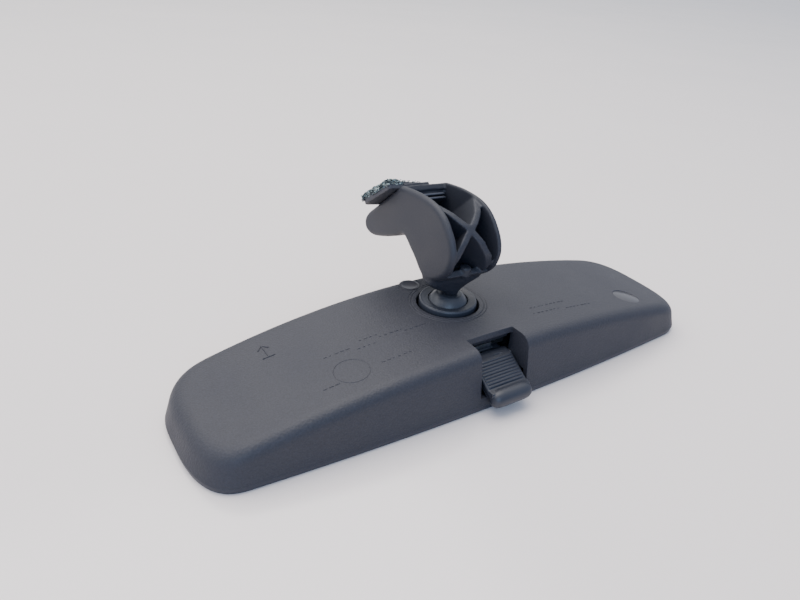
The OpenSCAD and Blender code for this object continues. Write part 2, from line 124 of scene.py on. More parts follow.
def build(name, shape, sharp=38, merge=0.002):
    """A mesh object at the origin from a shape in millimetres, with outward faces."""
    points, faces = shape
    mesh = bpy.data.meshes.new(name)
    mesh.from_pydata((np.asarray(points) * MM).tolist(), [], faces)
    work = bmesh.new()
    work.from_mesh(mesh)
    bmesh.ops.remove_doubles(work, verts=work.verts, dist=merge * MM)
    bmesh.ops.recalc_face_normals(work, faces=work.faces)
    work.to_mesh(mesh)
    work.free()
    mesh.shade_smooth()
    mesh.set_sharp_from_angle(angle=math.radians(sharp))
    piece = bpy.data.objects.new(name, mesh)
    scene.collection.objects.link(piece)
    return piece


def finished(piece, body, nodes, material):
    """Puts a piece on its body, hides the CAD parts it stands for, and gives it its finish."""
    if material is not None:
        piece.data.materials.clear()
        piece.data.materials.append(material)
    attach(piece, body)
    if nodes:
        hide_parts(*nodes)
    print(piece.name, len(piece.data.polygons), "faces")
    return piece


def applied(piece):
    """Bakes the modifiers of a piece into its mesh."""
    seen = piece.evaluated_get(bpy.context.evaluated_depsgraph_get())
    mesh = bpy.data.meshes.new_from_object(seen)
    old = piece.data
    piece.modifiers.clear()
    piece.data = mesh
    bpy.data.meshes.remove(old)
    return piece


def cut(piece, shape):
    """Takes a closed shape away from a piece."""
    cutter = build("cutter", shape)
    change = piece.modifiers.new("cut", "BOOLEAN")
    change.operation, change.solver, change.object = "DIFFERENCE", "EXACT", cutter
    applied(piece)
    bpy.data.objects.remove(cutter)
    return piece

# %% [markdown]
# ## Moulded plastic
# The case, lever and arm are injection moulded in dark grey plastic. The mould is spark eroded, which
# leaves a fine leathery grain of a few tenths of a millimetre. It could be a bump map, but noise read
# from the object's own millimetres needs no unwrapping and stays the same size on every piece.
# Three things make it look real: the grain in the bump, a slow cloudiness in colour and roughness
# from handling, and a slightly paler, smoother line where edges have rubbed. The rubbed line comes
# from a Bevel node: where its softened normal differs from the true one, there is an edge.

# %% Moulded plastic finish
def material(name):
    """A new node material: (material, its tree, its main shader)."""
    made = bpy.data.materials.new(name)
    made.use_nodes = True
    return made, made.node_tree, made.node_tree.nodes["Principled BSDF"]


def node(tree, kind, settings=None, **sockets):
    """Adds a node; sockets gives values or other sockets for its inputs, spaces written as _."""
    made = tree.nodes.new(kind)
    for key, value in (settings or {}).items():
        setattr(made, key, value)
    for key, value in sockets.items():
        slot = made.inputs[int(key[1:])] if key[0] == "i" and key[1:].isdigit() else \
            made.inputs[key.replace("_", " ")]
        if isinstance(value, bpy.types.NodeSocket):
            tree.links.new(value, slot)
        else:
            slot.default_value = value
    return made


def spread(tree, value, low, high, from_low=0.3, from_high=0.7):
    """Maps a noise value to the range low to high."""
    made = node(tree, "ShaderNodeMapRange", None, i0=value)
    for i, number in enumerate((from_low, from_high, low, high)):
        made.inputs[i + 1].default_value = number
    return made.outputs[0]


def blended(tree, share, a, b):
    """Colour a going to colour b as share goes from 0 to 1."""
    made = node(tree, "ShaderNodeMix", {"data_type": "RGBA"})
    tree.links.new(share, made.inputs[0])
    for slot, value in ((made.inputs[6], a), (made.inputs[7], b)):
        if isinstance(value, bpy.types.NodeSocket):
            tree.links.new(value, slot)
        else:
            slot.default_value = (*value, 1)
    return made.outputs[2]


def plastic(name, colour, rough=0.5, grain=0.3, depth=0.02, edge=0.35, wear=0.5, gloss=0.5,
            cloud=0.12, speckle=0.16):
    """Grained plastic: grain is the cell size and depth its height in mm, edge the softened radius."""
    made, tree, shader = material(name)
    place = node(tree, "ShaderNodeTexCoord").outputs["Object"]
    fine = node(tree, "ShaderNodeTexNoise", None, Vector=place, Scale=1000 / grain, Detail=3.0,
                Roughness=0.6).outputs["Fac"]
    pits = node(tree, "ShaderNodeTexVoronoi", None, Vector=place, Scale=700 / grain).outputs["Distance"]
    slow = node(tree, "ShaderNodeTexNoise", None, Vector=place, Scale=38.0, Detail=4.0).outputs["Fac"]
    dark = [c * (1 - cloud) for c in colour]
    pale = [min(1, c * (1 + cloud)) for c in colour]
    tone = blended(tree, spread(tree, slow, 0, 1), dark, pale)
    speck = blended(tree, spread(tree, fine, 0, 1, 0.35, 0.65), [c * (1 - speckle) for c in colour],
                    [min(1, c * (1 + speckle)) for c in colour])
    body = node(tree, "ShaderNodeMix", {"data_type": "RGBA"})
    body.inputs[0].default_value = 0.5
    tree.links.new(tone, body.inputs[6])
    tree.links.new(speck, body.inputs[7])
    soft = node(tree, "ShaderNodeBevel", {"samples": 4}, Radius=edge * MM).outputs[0]
    flat = node(tree, "ShaderNodeNewGeometry").outputs["Normal"]
    same = node(tree, "ShaderNodeVectorMath", {"operation": "DOT_PRODUCT"}, i0=soft, i1=flat).outputs["Value"]
    rubbed = spread(tree, same, wear, 0, 0.80, 0.985)
    tree.links.new(blended(tree, rubbed, body.outputs[2], [min(1, c * 1.7 + 0.01) for c in colour]),
                   shader.inputs["Base Color"])
    tree.links.new(spread(tree, slow, rough - 0.05, rough + 0.06), shader.inputs["Roughness"])
    relief = node(tree, "ShaderNodeMath", {"operation": "ADD"}, i0=fine, i1=pits).outputs[0]
    bump = node(tree, "ShaderNodeBump", None, Strength=0.6, Distance=depth * MM, Height=relief, Normal=soft)
    tree.links.new(bump.outputs[0], shader.inputs["Normal"])
    shader.inputs["Specular IOR Level"].default_value = gloss
    return made


case_plastic = plastic("case plastic", (0.026, 0.027, 0.036), rough=0.54, grain=0.62, depth=0.13,
                       gloss=0.42, speckle=0.30)
arm_plastic = plastic("arm plastic", (0.021, 0.023, 0.032), rough=0.52, grain=0.45, depth=0.04,
                      edge=0.5, gloss=0.4, speckle=0.22)
lever_plastic = plastic("lever plastic", (0.022, 0.025, 0.035), rough=0.42, grain=0.22, depth=0.008,
                        edge=0.25, wear=0.7)
socket_plastic = plastic("socket plastic", (0.022, 0.026, 0.037), rough=0.40, grain=0.20, depth=0.006,
                         edge=0.3)
ball_plastic = plastic("ball plastic", (0.034, 0.038, 0.048), rough=0.36, grain=0.18, depth=0.004,
                       edge=0.2, wear=0.2)
bezel_plastic = plastic("bezel plastic", (0.027, 0.029, 0.040), rough=0.42, grain=0.26, depth=0.012)
print("six moulded plastics")

# %% [markdown]
# ## The back cover
# The cover is a long shallow shell. Seen from above its outline is a bowed bar with squarish round
# corners, which is a superellipse: cosine and sine raised to 2/p, where p = 2 would be a true ellipse
# and a larger p is squarer. The walls lean in, a quarter bend joins them to the back, and the back
# is crowned: its height falls with the square of the distance from the middle.
# Box modelling with subdivision would round things off in its own way, so the surface is computed,
# with exactly the same formulas as the CAD part and many more points.

# %% Sizes of the case
LENGTH, WIDTH, DEPTH, WALL, PARTING = 237.0, 68.6, 25.5, 2.2, 2.2
HALF = LENGTH / 2
NEAR_Y, FAR_Y = WIDTH * 0.5087, WIDTH * 0.4913
NEAR_BOW, FAR_BOW = 4.6, 10.7
CORNER_NEAR, CORNER_FAR, SQUARENESS = 17.0, 19.0, 2.9
LEAN_NEAR, LEAN_FAR, LEAN_END = 3.5, 1.2, 3.6
NEAR_TOP, FAR_TOP, END_TOP, CROWN_X = DEPTH, DEPTH - 2, 12.75, HALF * 0.96
BEND = 5.0
BALL = np.array([0, 6.8, 21.1])
HOLE_R = 13.2


def edge_line(half, y0, bow, corner, straight=56, bent=30):
    """One long edge, left to right. Along the straight part y = y0 - bow (x / half length)^2. In the
    corner x goes on as corner * sin(a)^(2/p) and y is multiplied by cos(a)^(2/p)."""
    a = np.radians(84 * np.linspace(0, 1, bent) ** 1.35)
    x = np.concatenate([np.linspace(0, half - corner, straight, endpoint=False),
                        half - corner + corner * np.sin(a) ** (2 / SQUARENESS)])
    shrink = np.concatenate([np.ones(straight), np.cos(a) ** (2 / SQUARENESS)])
    y = (y0 - bow * (x / HALF) ** 2) * shrink
    return np.concatenate([np.stack([-x[:0:-1], y[:0:-1]], 1), np.stack([x, y], 1)])


def rim(d=0.0):
    """The lower and upper edges of the case outline, moved in by d."""
    near = edge_line(HALF - d, NEAR_Y - d, NEAR_BOW, CORNER_NEAR - d / 2)
    far = edge_line(HALF - d, FAR_Y - d, FAR_BOW, CORNER_FAR - d / 2)
    return near * [1, -1], far


def crease(d=0.0):
    """The edges where wall and back would meet if there were no bend, moved in by d."""
    near = edge_line(HALF - LEAN_END - d, NEAR_Y - LEAN_NEAR - d, NEAR_BOW * 0.6, CORNER_NEAR - d / 2)
    far = edge_line(HALF - LEAN_END - d, FAR_Y - LEAN_FAR - d, FAR_BOW * 0.86, CORNER_FAR - d / 2)
    return near * [1, -1], far


def loop(edges, ends=10):
    """A closed outline: along the lower edge, up the end, back along the upper edge, down the end."""
    near, far = edges
    t = np.linspace(0, 1, ends + 2)[1:-1, None]
    return np.concatenate([near, near[-1] * (1 - t) + far[-1] * t, far[::-1],
                           far[0] * (1 - t) + near[0] * t])


def back_height(x, y):
    """Height of the crowned back: each edge falls as the square of x, and between the edges it is
    a straight mix."""
    u, t = (x / CROWN_X) ** 2, (y + NEAR_Y) / WIDTH
    near = NEAR_TOP - (NEAR_TOP - END_TOP) * u
    far = FAR_TOP - (FAR_TOP - END_TOP) * u
    return near + (far - near) * t


def lifted(plan, z):
    """Plan points with a height."""
    return np.column_stack([plan, np.broadcast_to(z, len(plan))])


def skin(d, z0, foot=0.0, bend_steps=14, wall_steps=7, rows=26):
    """The rings of one skin of the cover, d inside the outer one, and the grid that closes its top.
    The bend is a quadratic curve: (1-t)^2 wall + 2t(1-t) corner + t^2 back."""
    low = lifted(loop(rim(d)), z0)
    top = loop(crease(0.8 * d))
    top = lifted(top, back_height(*top.T) - d)
    inner = crease(0.8 * d + BEND - d / 2)
    flat = loop(inner)
    flat = lifted(flat, back_height(*flat.T) - d)
    share = ((BEND - d / 2) / (top[:, 2] - low[:, 2]))[:, None]
    wall = top + (low - top) * share
    rings = [low + (wall - low) * t for t in np.linspace(0, 1, wall_steps, endpoint=False)]
    if foot:
        rings = [lifted(loop(rim(d + foot)), z0), low + (wall - low) * 0.018] + rings[1:]
    rings += [wall * (1 - t) ** 2 + top * 2 * t * (1 - t) + flat * t * t
              for t in np.linspace(0, 1, bend_steps)]
    t = np.linspace(0, 1, rows)[:, None, None]
    grid = (inner[0][None] * (1 - t) + inner[1][None] * t).reshape(-1, 2)
    return rings, lifted(grid, back_height(*grid.T) - d), (rows, len(inner[0]))


outer, outer_cap, cap_size = skin(0, PARTING, foot=0.3)
inner, inner_cap, _ = skin(WALL, PARTING)
ring_count = len(outer[0])
shell = stack(
    (np.concatenate(outer), quads(len(outer), ring_count, wrap=True)),
    (outer_cap, quads(*cap_size)),
    (np.concatenate(inner), quads(len(inner), ring_count, wrap=True)),
    (inner_cap, quads(*cap_size)),
    (np.concatenate([outer[0], inner[0]]), quads(2, ring_count, wrap=True)))
cover = build("back_cover_shell", shell)
print("cover shell", len(cover.data.vertices), "points")

# %% [markdown]
# ## Cuts in the cover
# The cover has a notch for the lever, a round hole for the ball joint with two fine turned lines
# round it, a shallow round dish near one end and a small round seat for a mould insert.
# Each is a closed cutter taken away with a Boolean. The cutters flare where they leave the surface,
# so the cut edges are slightly broken, as they are in a real moulding.

# %% Cutters
def lathe(profile, turns=96, centre=(0, 0, 0), tilt=(0.0, 0.0)):
    """A profile of (radius, height) turned about the vertical: x = r cos a, y = r sin a. The axis
    then leans by tilt, in radians about X and about Y, and moves to centre. Ends on the axis close."""
    profile = np.asarray(profile, float)
    a = np.linspace(0, 2 * np.pi, turns, endpoint=False)
    r, z = profile[:, 0][:, None], profile[:, 1][:, None]
    p = np.stack([r * np.cos(a), r * np.sin(a), np.broadcast_to(z, (len(profile), turns))], -1)
    p = p.reshape(-1, 3)
    cx, sx, cy, sy = math.cos(tilt[0]), math.sin(tilt[0]), math.cos(tilt[1]), math.sin(tilt[1])
    about_x = np.array([[1, 0, 0], [0, cx, sx], [0, -sx, cx]])
    about_y = np.array([[cy, 0, -sy], [0, 1, 0], [sy, 0, cy]])
    p = p @ about_x @ about_y
    faces = quads(len(profile), turns, wrap=True)
    if np.allclose(profile[0], profile[-1]):
        return p + centre, faces
    if profile[0][0] > 0:
        faces.append(list(range(turns))[::-1])
    if profile[-1][0] > 0:
        faces.append([(len(profile) - 1) * turns + i for i in range(turns)])
    return p + centre, faces


def on_back(x, y):
    """Where a turned cutter stands on the crowned back, and how it leans."""
    z = float(back_height(np.array(x), np.array(y)))
    lean_x = -math.atan((NEAR_TOP - FAR_TOP) / WIDTH)
    lean_y = math.atan(2 * (NEAR_TOP - END_TOP) * x / CROWN_X ** 2)
    return {"centre": (x, y, z), "tilt": (lean_x, lean_y)}


def groove(radius, width, depth):
    """A ring-shaped cutter with a V-shaped section."""
    return [(radius - width / 2 - 0.3, 0.6), (radius - width / 2, 0.02), (radius, -depth),
            (radius + width / 2, 0.02), (radius + width / 2 + 0.3, 0.6),
            (radius - width / 2 - 0.3, 0.6)]


def bar(x0, x1, section):
    """A (y, z) polygon carried along X."""
    section = np.asarray(section, float)
    return tube([np.column_stack([np.full(len(section), x), section]) for x in (x0, x1)])


NOTCH_X, NOTCH_Y, NOTCH_Z = 11.5, -22.0, 6.0
here = on_back(0, BALL[1])
cut(cover, lathe([(0, -30), (HOLE_R, -30), (HOLE_R, -0.35), (HOLE_R + 0.55, 0.2), (HOLE_R + 0.55, 5),
                  (0, 5)], 128, **here))
for radius in (HOLE_R + 2.1, HOLE_R + 3.3):
    cut(cover, lathe(groove(radius, 0.55, 0.4), 128, **here))
insert_seat, dish_seat = on_back(-6, 27), on_back(86, -17)
cut(cover, lathe([(0, -0.42), (4.6, -0.42), (5.4, -0.2), (5.9, 0.1), (5.9, 1), (0, 1)], 64, **insert_seat))
cut(cover, lathe([(0, -0.34), (5.6, -0.32), (6.3, -0.12), (6.5, 0.3), (6.5, 1), (0, 1)], 64, **dish_seat))
cut(cover, bar(-NOTCH_X, NOTCH_X, [(NOTCH_Y, NOTCH_Z), (NOTCH_Y, 22.6), (NOTCH_Y + 1.4, 27), (-50, 27),
                                   (-50, NOTCH_Z)]))
cover.data.shade_smooth()
cover.data.set_sharp_from_angle(angle=math.radians(30))
print("cover after cutting", len(cover.data.vertices), "points")

# %% [markdown]
# Inside the notch there are two side walls, and under the hole a short tube guides the socket.
# They are only walls of even thickness, so a polygon and a turned rectangle are enough. They overlap
# the shell a little, as a weld would, instead of being fused to it.

# %% Walls inside the cover
cheek = [(-32.6, 11), (-31.6, 19.5), (-30.3, 22.6), (-28.2, 24.2), (-21, 24.1), (-21, 11)]
inside = build("cover_walls", stack(
    bar(-NOTCH_X - 1.2, -NOTCH_X - 0.01, cheek), bar(NOTCH_X + 0.01, NOTCH_X + 1.2, cheek),
    lathe([(HOLE_R + 0.02, 19.5), (HOLE_R + 1.4, 19.5), (HOLE_R + 1.4, 23.4), (HOLE_R + 0.02, 23.4),
           (HOLE_R + 0.02, 19.5)], 96, centre=(0, BALL[1], 0)),
    bar(-NOTCH_X - 1.2, NOTCH_X + 1.2, [(NOTCH_Y + 3.8, 18.4), (NOTCH_Y + 5, 18.4), (NOTCH_Y + 5, 23.2),
                                        (NOTCH_Y + 3.8, 23.2)]),
    *[lathe([(1.15, 10.6), (3.5, 10.6), (3.5, back_height(x, y) - 1.4), (1.15, back_height(x, y) - 1.4),
             (1.15, 10.6)], 32, centre=(x, y, 0)) for x in (-72, 72) for y in (-16, 16)]))
finished(cover, "case", ["back_cover"], case_plastic)
finished(inside, "case", [], case_plastic)

# %% [markdown]
# ## The bezel
# A thin frame holds the glass and closes the case. Its section is drawn once, as (distance in from
# the rim, height), and carried round the same outline as the cover. Its outer corner is a little
# broken against the cover's, which makes the fine parting line that catches the light.

# %% Bezel
GLASS_IN = WALL + 2.1
bezel_section = [(0.75, 0.0), (0.45, 0.12), (0.36, 0.4), (0.34, 1.2), (0.34, 1.85), (0.44, 2.1),
                 (0.7, 2.18), (3.2, 2.18), (3.2, 3.8), (GLASS_IN - 0.25, 3.8), (GLASS_IN - 0.2, 3.5),
                 (GLASS_IN - 0.2, 0.8), (4.95, 0.8), (4.93, 0.3), (4.7, 0.06), (4.4, 0.0)]
bezel_rings = [lifted(loop(rim(d)), z) for d, z in bezel_section + bezel_section[:1]]
bezel = build("bezel_frame", (np.concatenate(bezel_rings),
                              quads(len(bezel_rings), ring_count, wrap=True)))
cut(bezel, bar(-NOTCH_X - 0.6, NOTCH_X + 0.6, [(-40, 2.5), (-26, 2.5), (-26, 12), (-40, 12)]))
bezel.data.shade_smooth()
bezel.data.set_sharp_from_angle(angle=math.radians(30))
finished(bezel, "case", ["bezel"], bezel_plastic)

# %% [markdown]
# ## The mould marks
# A back cover carries a few shallow marks from its mould. These are plain ones of no maker and hold no
# lettering: an arrow that shows which way is up, an empty ring, and rows of short dashes of uneven
# length. Each stroke is a low ridge that follows the crowned back. Engraving them would need a Boolean
# for every stroke, while a ridge only needs its points lifted by the cover's own height formula.

# %% Mould marks
def ridge(path, width=0.42, height=0.13):
    """A low ridge along a plan path: a trapezium section whose corners stand on the back."""
    path = np.asarray(path, float)
    run = np.gradient(path, axis=0)
    side = np.stack([-run[:, 1], run[:, 0]], 1) / np.linalg.norm(run, axis=1)[:, None]
    rings = []
    for p, s in zip(path, side):
        corners = [p - s * width / 2, p - s * width / 4, p + s * width / 4, p + s * width / 2]
        rings.append([(x, y, back_height(x, y) + h) for (x, y), h in
                      zip(corners, (-0.1, height, height, -0.1))])
    return tube([np.array(r) for r in rings])


def dash(x, y, dx, dy, wide=0.36, tall=0.16):
    """A straight stroke in the plan from (x, y) by (dx, dy)."""
    return ridge(np.array([x, y]) + np.linspace(0, 1, 4)[:, None] * [dx, dy], wide, tall)


ARROW_AT, RING_AT, RING_R = np.array([-78.5, 13.6]), np.array([-57.4, -14.6]), 6.6
strokes = []
for a, b in [((0, -3.4), (0, 4.4)), ((-2.1, 2.0), (0, 4.4)), ((2.1, 2.0), (0, 4.4)),
             ((-2.4, -3.4), (2.4, -3.4))]:
    p, q = a + ARROW_AT, b + ARROW_AT
    strokes.append(dash(*p, *(q - p), 0.55, 0.26))
angle = np.linspace(0, 2 * np.pi, 49)
strokes.append(ridge(np.stack([RING_AT[0] + RING_R * np.cos(angle), RING_AT[1] + RING_R * np.sin(angle)], 1),
                     0.4, 0.11))
chance = np.random.default_rng(7)
ROWS = [(-62.5, -3.6, 5), (-49.5, -5.6, 4), (-70.5, -19.5, 3), (-46, -17.5, 6), (-46.5, -1.2, 4),
        (-38.5, -3.0, 5), (-28, -4.4, 5), (29, -13.5, 9), (27, -18.0, 7), (45, -19.0, 7)]
for x0, y0, count in ROWS:
    for k in range(count):
        strokes.append(dash(x0 + 2.3 * k, y0 + 1.1, 0.7 + 0.25 * chance.permutation(5)[0], 0))
marks = build("mould_marks", stack(*strokes), sharp=60, merge=0)
finished(marks, "case", [], case_plastic)

insert = build("mould_insert", stack(
    lathe([(0, -0.44), (4.4, -0.44), (4.5, -0.4), (4.5, -0.24), (4.35, -0.16), (3.4, -0.14), (3.2, -0.24),
           (3.0, -0.3), (0, -0.28)], 64, **insert_seat),
    lathe([(0, -0.36), (5.9, -0.34), (6.1, -0.24), (5.9, -0.16), (0, -0.16)], 64, **dish_seat)), sharp=50)
insert_plastic = plastic("polished plastic", (0.040, 0.040, 0.048), rough=0.30, grain=0.5, depth=0.004,
                         edge=0.2)
finished(insert, "case", [], insert_plastic)

# %% [markdown]
# ## The dipping lever
# The lever tips the glass for night driving. It is a hub on a pin, a sloping tongue with a grip of
# fine ribs, and a rounded roll at the tip for the thumb. The tongue is a closed loop in the (y, z)
# plane carried along X; its upper side is raised by a rib wave, and near the sides the loop shrinks
# along its own normals by r - sqrt(r^2 - e^2), which rounds the edges.

# %% Lever
LEVER_HALF, LEVER_AXIS = 9.5, np.array([-22.0, 13.0])
RIBS, GRIP, ROLL_AT, ROLL_R = 9, 11.2, (-37.9, 6.9), 3.6


def resampled(points, step, closed=True):
    """Points at even distances along a path of straight pieces."""
    p = np.asarray(points, float)
    if closed:
        p = np.concatenate([p, p[:1]])
    length = np.concatenate([[0], np.cumsum(np.linalg.norm(np.diff(p, axis=0), axis=1))])
    s = np.linspace(0, length[-1], max(3, round(length[-1] / step)) + 1)
    out = np.stack([np.interp(s, length, p[:, k]) for k in range(p.shape[1])], 1)
    return out[:-1] if closed else out


def rounded(points, passes):
    """Softens the corners of a closed path: each pass moves a point to the mean of it and its neighbours."""
    for _ in range(passes):
        points = (np.roll(points, 1, 0) + 2 * points + np.roll(points, -1, 0)) / 4
    return points


def normals_2d(points):
    """Outward normals of a closed path that runs anticlockwise: the run turned a quarter right."""
    run = np.roll(points, -1, 0) - np.roll(points, 1, 0)
    run /= np.linalg.norm(run, axis=1)[:, None]
    area = np.sum(points[:, 0] * np.roll(points[:, 1], -1) - np.roll(points[:, 0], -1) * points[:, 1])
    return np.stack([run[:, 1], -run[:, 0]], 1) * np.sign(area)


tongue = resampled([(-22.6, 16.1), (-25.2, 16.0), (-35.3, 10.0), (-38.2, 10.0), (-38.2, 6.2), (-34.6, 6.9),
                    (-26.4, 11.4), (-23.0, 10.8)], 0.11)
tongue = rounded(tongue, 8)
out = normals_2d(tongue)
slope = np.array([-10.1, -6.0]) / math.hypot(10.1, 6.0)
along = (tongue - [-25.2, 16.0]) @ slope
top_side = (out @ [slope[1], -slope[0]] > 0.9) & (along > -0.2) & (along < 11.9)


def grip(s, x):
    """Height of the grip: nine flat ribs with narrow rounded grooves, fading out at the sides and ends."""
    wave = np.abs(np.sin(np.pi * RIBS * np.clip(s - 0.2, 0, GRIP) / GRIP)) ** 0.45
    side = np.clip((LEVER_HALF - 0.7 - np.abs(x)) / 0.35, 0, 1)
    end = np.clip((s - 0.1) / 0.4, 0, 1) * np.clip((11.7 - s) / 0.4, 0, 1)
    return 0.55 * wave * side * end


def pressed(s, x):
    """Two shapes sunk near the hub: a round dimple on the left and a short slot on the right."""
    dimple = np.clip(1.3 - np.hypot(x + 6.9, s - 0.6) / 0.9, 0, 1)
    slot = np.clip((1.9 - np.abs(x - 3.2)) / 0.3, 0, 1) * np.clip((0.42 - np.abs(s + 0.9)) / 0.25, 0, 1)
    return -0.7 * dimple - 0.45 * slot


edge = 0.5
x_list = np.concatenate([-LEVER_HALF + edge * (1 - np.cos(np.linspace(0, np.pi / 2, 5))),
                         np.linspace(-LEVER_HALF + 0.7, LEVER_HALF - 0.7, 70),
                         LEVER_HALF - edge * (1 - np.cos(np.linspace(np.pi / 2, 0, 5)))])
sections = []
for x in x_list:
    e = max(0.0, abs(x) - (LEVER_HALF - edge))
    sink = edge - math.sqrt(max(0.0, edge ** 2 - e ** 2))
    height = np.where(top_side, grip(along, x), 0)
    hollow = np.where((out[:, 1] > 0.4) & (along > -3), pressed(along, x), 0)
    moved = tongue + out * (height + hollow - sink)[:, None]
    sections.append(np.column_stack([np.full(len(moved), x), moved]))


def along_x(profile, y, z, turns=40):
    """A turned shape with its axis along X: profile holds (x, radius)."""
    a = np.linspace(0, 2 * np.pi, turns, endpoint=False)
    return tube([np.column_stack([np.full(turns, x), y + r * np.cos(a), z + r * np.sin(a)])
                 for x, r in profile])


roll_x = np.sin(np.linspace(-1, 1, 41) * np.pi / 2)
roll = [(9.55 * t, ROLL_R * max(0.02, (1 - abs(t) ** 6.5)) ** 0.42) for t in roll_x]
crank = LEVER_AXIS + 4.8 * np.array([math.cos(math.radians(17.5)), math.sin(math.radians(17.5))])
ear = [(-22, 16), tuple(crank + [0, 1.25]), tuple(crank + [1.2, -0.4]), tuple(crank - [0, 1.25]), (-22, 10)]
lever = build("dip_lever_moulding", stack(
    tube(sections), along_x(roll, *ROLL_AT, 56),
    along_x([(-9.5, 2.9), (-9.2, 3.25), (-8.9, 3.3), (8.9, 3.3), (9.2, 3.25), (9.5, 2.9)], *LEVER_AXIS),
    bar(-8, -5, ear), bar(5, 8, ear), along_x([(-8, 1.25), (8, 1.25)], *crank)), sharp=42)
finished(lever, "lever", ["dip_lever"], lever_plastic)

# %% [markdown]
# ## The ball joint
# The socket collar, its liner and the ball are turned shapes, so each is a profile swept round an
# axis. The collar's top edge carries a small step and dishes down to the ball, and every corner has
# a small radius, because a sharp plastic corner never shows a highlight and looks like paper.

# %% Collar and ball
collar_profile = [(10.95, -4.2), (11.8, -4.2), (12.1, -3.9), (12.1, 4.3), (12.03, 4.6), (11.84, 4.8),
                  (11.74, 4.86), (11.7, 5.0), (11.58, 5.15), (11.36, 5.2), (11.1, 5.17), (10.4, 5.0),
                  (9.4, 4.88), (8.65, 4.84), (8.44, 4.74), (8.46, 4.55), (8.9, 3.6), (9.05, 3.25),
                  (10.2, 3.2), (10.25, 0.6), (10.95, 0.6), (10.95, -4.2)]
collar = build("socket_ring", lathe(collar_profile, 128, centre=BALL), sharp=50)
finished(collar, "bracket", ["socket_collar"], socket_plastic)


def stood(points):
    """The ball, stud and arm stand a little askew on the joint: 3 degrees about Y, then -2 about Z,
    both through the ball's centre."""
    a, b = math.radians(3), math.radians(-2)
    about_y = np.array([[math.cos(a), 0, math.sin(a)], [0, 1, 0], [-math.sin(a), 0, math.cos(a)]])
    about_z = np.array([[math.cos(b), -math.sin(b), 0], [math.sin(b), math.cos(b), 0], [0, 0, 1]])
    return (np.asarray(points) - BALL) @ (about_z @ about_y).T + BALL


def posed(shape):
    """A shape with its points stood on the joint."""
    return stood(shape[0]), shape[1]


BALL_R = 9.3
latitude = np.radians(np.linspace(-65.2, 54, 60))
ball_profile = [(2.35, 7.7), (2.35, -6.75), (3.85, -6.8)] + \
    [(BALL_R * math.cos(t), BALL_R * math.sin(t)) for t in latitude] + \
    [(5.3, 7.61), (5.0, 7.67), (4.6, 7.7), (2.35, 7.7)]
ball = build("ball", posed(lathe(ball_profile, 96, centre=BALL)), sharp=40)
finished(ball, "ball", ["pivot_ball"], ball_plastic)

# %% [markdown]
# ## The arm
# The arm is one moulding: two bowed flanges, a web between them on the hollow side, a foot plate at
# the top, two curved ribs that cross in the open channel, and a tapering neck that stands on the
# ball. Its side view is a smooth curve through a few measured points (a Catmull-Rom spline).
# A moulding has a small fillet wherever walls meet. Modelling each fillet would be long work, so
# the walls are made as overlapping solids, fused by a fine voxel remesh and relaxed a little,
# which rounds inner and outer corners alike.

# %% Arm outline
SLOPE = math.radians(-41.1)
FOOT_Y, FOOT_Z = 35.2, 65.2
GROWN = 0.6


def foot_line(s, h):
    """Runs s down the sloping foot and h out of it: y = 35.2 + s cos - h sin, z = 65.2 + s sin + h cos."""
    return (FOOT_Y + s * math.cos(SLOPE) - h * math.sin(SLOPE),
            FOOT_Z + s * math.sin(SLOPE) + h * math.cos(SLOPE))


def spline(points, n):
    """Catmull-Rom: between b and c the curve is 0.5 (2b + (c-a) t + (2a-5b+4c-d) t^2 + (3b-a-3c+d) t^3)."""
    p = np.asarray(points, float)
    t = np.linspace(0, 1, n, endpoint=False)[:, None]
    out = []
    for i in range(len(p) - 1):
        a, b, c, d = p[max(i - 1, 0)], p[i], p[i + 1], p[min(i + 2, len(p) - 1)]
        out.append(0.5 * (2 * b + (c - a) * t + (2 * a - 5 * b + 4 * c - d) * t ** 2
                          + (3 * b - a - 3 * c + d) * t ** 3))
    return np.concatenate(out + [p[-1:]])


OUTER = [(7.5, 36), (1, 39.3), (-4.2, 44.4), (-6.1, 50.8), (-4.4, 56.5), (0.2, 61.8), (5.6, 65.3),
         (12.5, 67), (23.5, 66.9), (FOOT_Y, FOOT_Z)]
INNER = [(10.2, 36), (14, 37.9), (17.5, 40.7), (22.1, 43.6), (28.9, 47.1)]
TOE = [(59, 44.4), (61.3, 40.6), (59.6, 36.8), (54, 36.3), (44.8, 39.5), (35.6, 43.7)]
N = 8
throat = spline([TOE[-1], INNER[4], INNER[3], INNER[2], INNER[1], INNER[0]], 6)
drawn = np.concatenate([spline(OUTER, N), spline(TOE, N)[:-1], throat])
side_view = drawn + normals_2d(drawn) * GROWN
side_out = normals_2d(side_view)


def inset(path, d, normals=None):
    """A closed outline moved in by d along its own normals."""
    return path - (normals_2d(path) if normals is None else normals) * d


def slab(path, x0, x1, r0, r1, steps=6):
    """A closed (y, z) outline carried from x0 to x1 with its edges rounded: the outline is drawn in
    by r (1 - cos a) while x goes on by r sin a."""
    a = np.linspace(0, np.pi / 2, steps)
    way = [(x0 + r0 * (1 - math.sin(t)), r0 * (1 - math.cos(t))) for t in a[::-1]] if r0 else [(x0, 0.0)]
    way += [(x1 - r1 * (1 - math.sin(t)), r1 * (1 - math.cos(t))) for t in a] if r1 else [(x1, 0.0)]
    direction = normals_2d(path)
    return tube([np.column_stack([np.full(len(path), x), path - direction * d]) for x, d in way])


print("arm outline", len(side_view), "points")

# %% [markdown]
# The web, floor and foot plate are one band: the outline on the outside, the same outline moved in
# by the wall thickness on the inside. The ribs are drawn in the plane that looks straight into
# the channel, at 45 degrees, as a path (x, v) with v = (y + z) / root 2. Their depth w = (z - y) /
# root 2 runs from the web to just under the crowned edge, and both depths are read from tables.

